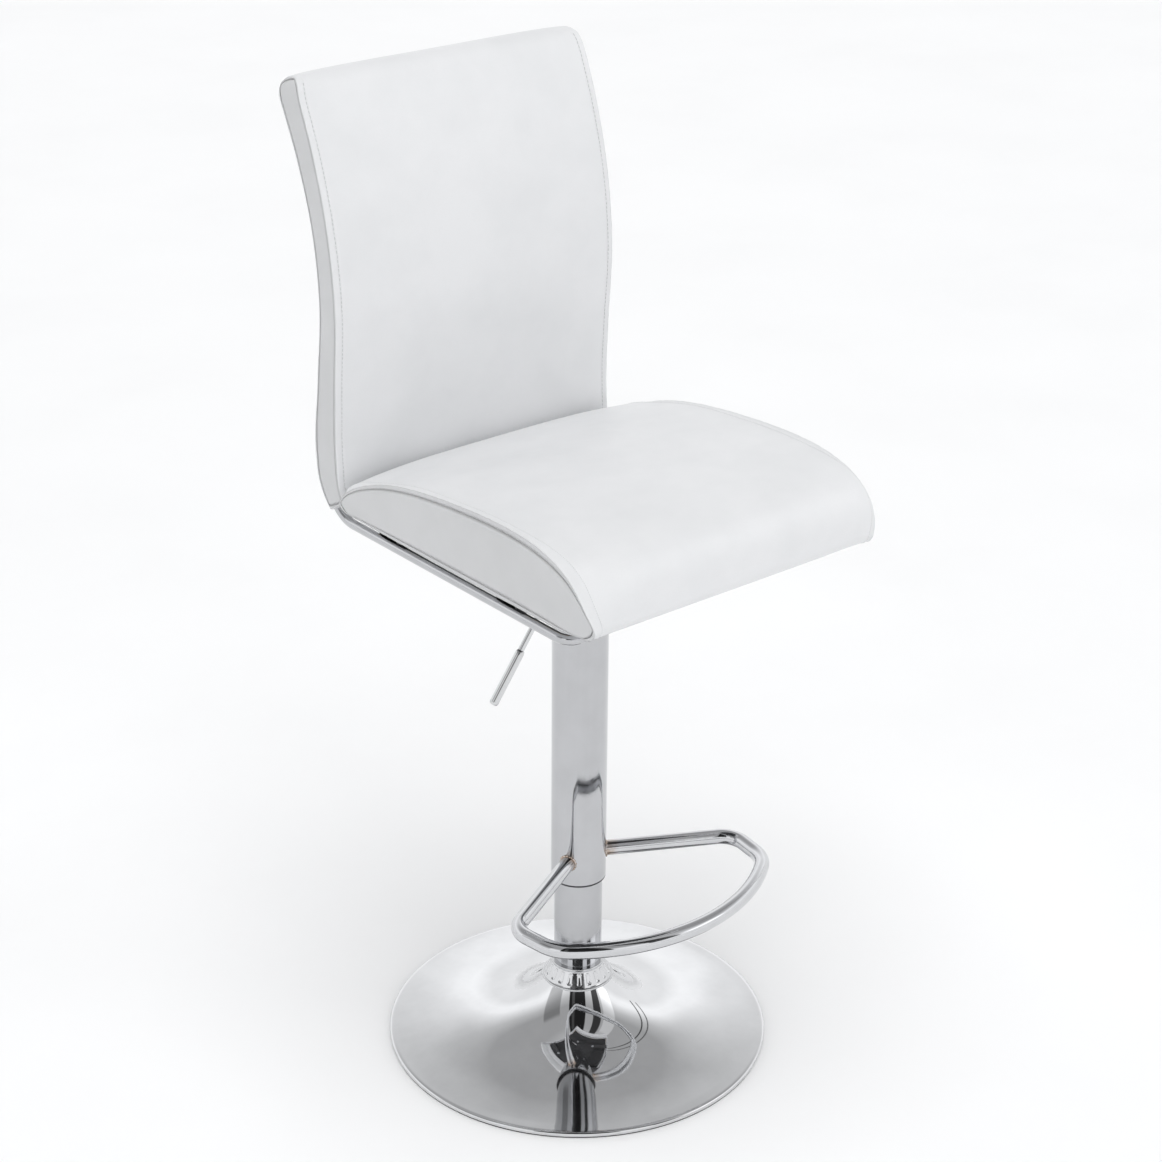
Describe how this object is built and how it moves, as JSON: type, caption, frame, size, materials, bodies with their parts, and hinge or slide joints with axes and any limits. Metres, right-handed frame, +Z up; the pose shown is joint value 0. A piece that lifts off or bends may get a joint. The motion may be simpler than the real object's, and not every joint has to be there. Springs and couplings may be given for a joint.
{
  "type": "adjustable swivel stool",
  "caption": "High-back bar stool on a round chrome base: gas-lift column with swivel, sleeve, bent-tube footrest, release lever and upholstered seat and back.",
  "frame": {"origin": "on the column's axis, at the floor under the base", "axes": "+Z up along the column, the sitter faces -Y, the release lever is on the -X side"},
  "size_m": [0.4, 0.4757, 1.0088],
  "materials": {
    "chrome": "mirror-polished chrome plate",
    "chrome_tube": "polished chrome tube",
    "white_leather": "smooth white faux leather with a fine grain",
    "black_plastic": "matt black moulded plastic",
    "rubber": "matt black rubber",
    "zinc_steel": "bright zinc-plated steel",
    "ground_steel": "ground and polished steel",
    "raw_steel": "dull grey steel plate",
    "black_paint": "semi-gloss black powder coat",
    "brass_cage": "satin pressed brass",
    "plywood": "birch plywood",
    "foam": "pale cut polyurethane foam",
    "dust_cloth": "black non-woven cloth"
  },
  "bodies": {
    "base": {"base_cover": "chrome", "floor_ring": "rubber", "base_plate": "raw_steel", "ballast_disc": "raw_steel", "column_foot": "raw_steel", "foot_bolts": "zinc_steel", "foot_nuts": "zinc_steel", "base_collar": "chrome", "column_tube": "chrome_tube", "column_bush": "black_plastic", "lower_race": "ground_steel"},
    "bearing": {"ball_cage": "brass_cage", "bearing_balls": "ground_steel"},
    "spindle": {"upper_race": "ground_steel", "rubber_buffer": "rubber", "rod_washer": "zinc_steel", "rod_clip": "raw_steel", "piston_rod": "ground_steel", "piston": "ground_steel", "piston_seal": "rubber"},
    "seat": {"gas_cylinder": "black_paint", "cylinder_guide": "ground_steel", "cone_socket": "black_paint", "mounting_plate": "black_paint", "sleeve_tube": "chrome_tube", "sleeve_spacer": "black_plastic", "sleeve_guide_ring": "black_plastic", "footrest_ring": "chrome_tube", "lever_bracket": "black_paint", "lever_pivot_pin": "zinc_steel", "lever_pin_clip": "raw_steel", "left_rail": "chrome_tube", "right_rail": "chrome_tube", "front_rod": "chrome_tube", "front_cross_bar": "black_paint", "rear_cross_bar": "black_paint", "plate_bolts": "zinc_steel", "plate_washers": "zinc_steel", "tee_nuts": "zinc_steel", "seat_board": "plywood", "seat_foam": "foam", "seat_cover": "white_leather", "seat_dust_cover": "dust_cloth", "back_board": "plywood", "back_front_foam": "foam", "back_rear_foam": "foam", "back_cover": "white_leather", "rod_clamps": "raw_steel", "clamp_screws": "zinc_steel"},
    "lever": {"lever_arm": "chrome", "lever_grip": "chrome"},
    "valve": {"valve_pin": "ground_steel"}
  },
  "joints": [
    {"name": "swivel", "type": "hinge", "parent": "base", "child": "spindle", "pos_m": [0, 0, 0.021], "axis": [0, 0, 1], "continuous": true},
    {"name": "cage_roll", "type": "hinge", "parent": "base", "child": "bearing", "pos_m": [0, 0, 0.0187], "axis": [0, 0, 1], "continuous": true},
    {"name": "lift", "type": "slide", "parent": "spindle", "child": "seat", "axis": [0, 0, 1], "range_m": [-0.1, 0.11]},
    {"name": "lever_pull", "type": "hinge", "parent": "seat", "child": "lever", "pos_m": [-0.03, -0.06, 0.559], "axis": [0, 1, 0], "range_deg": [0, 6], "stiffness_Nm_per_rad": 4},
    {"name": "valve_press", "type": "slide", "parent": "seat", "child": "valve", "axis": [0, 0, -1], "range_m": [0, 0.0032]}
  ],
  "couplings": [
    {"joint": "cage_roll", "follows": "swivel", "ratio": 0.5},
    {"joint": "valve_press", "follows": "lever_pull", "m_per_rad": 0.03}
  ]
}
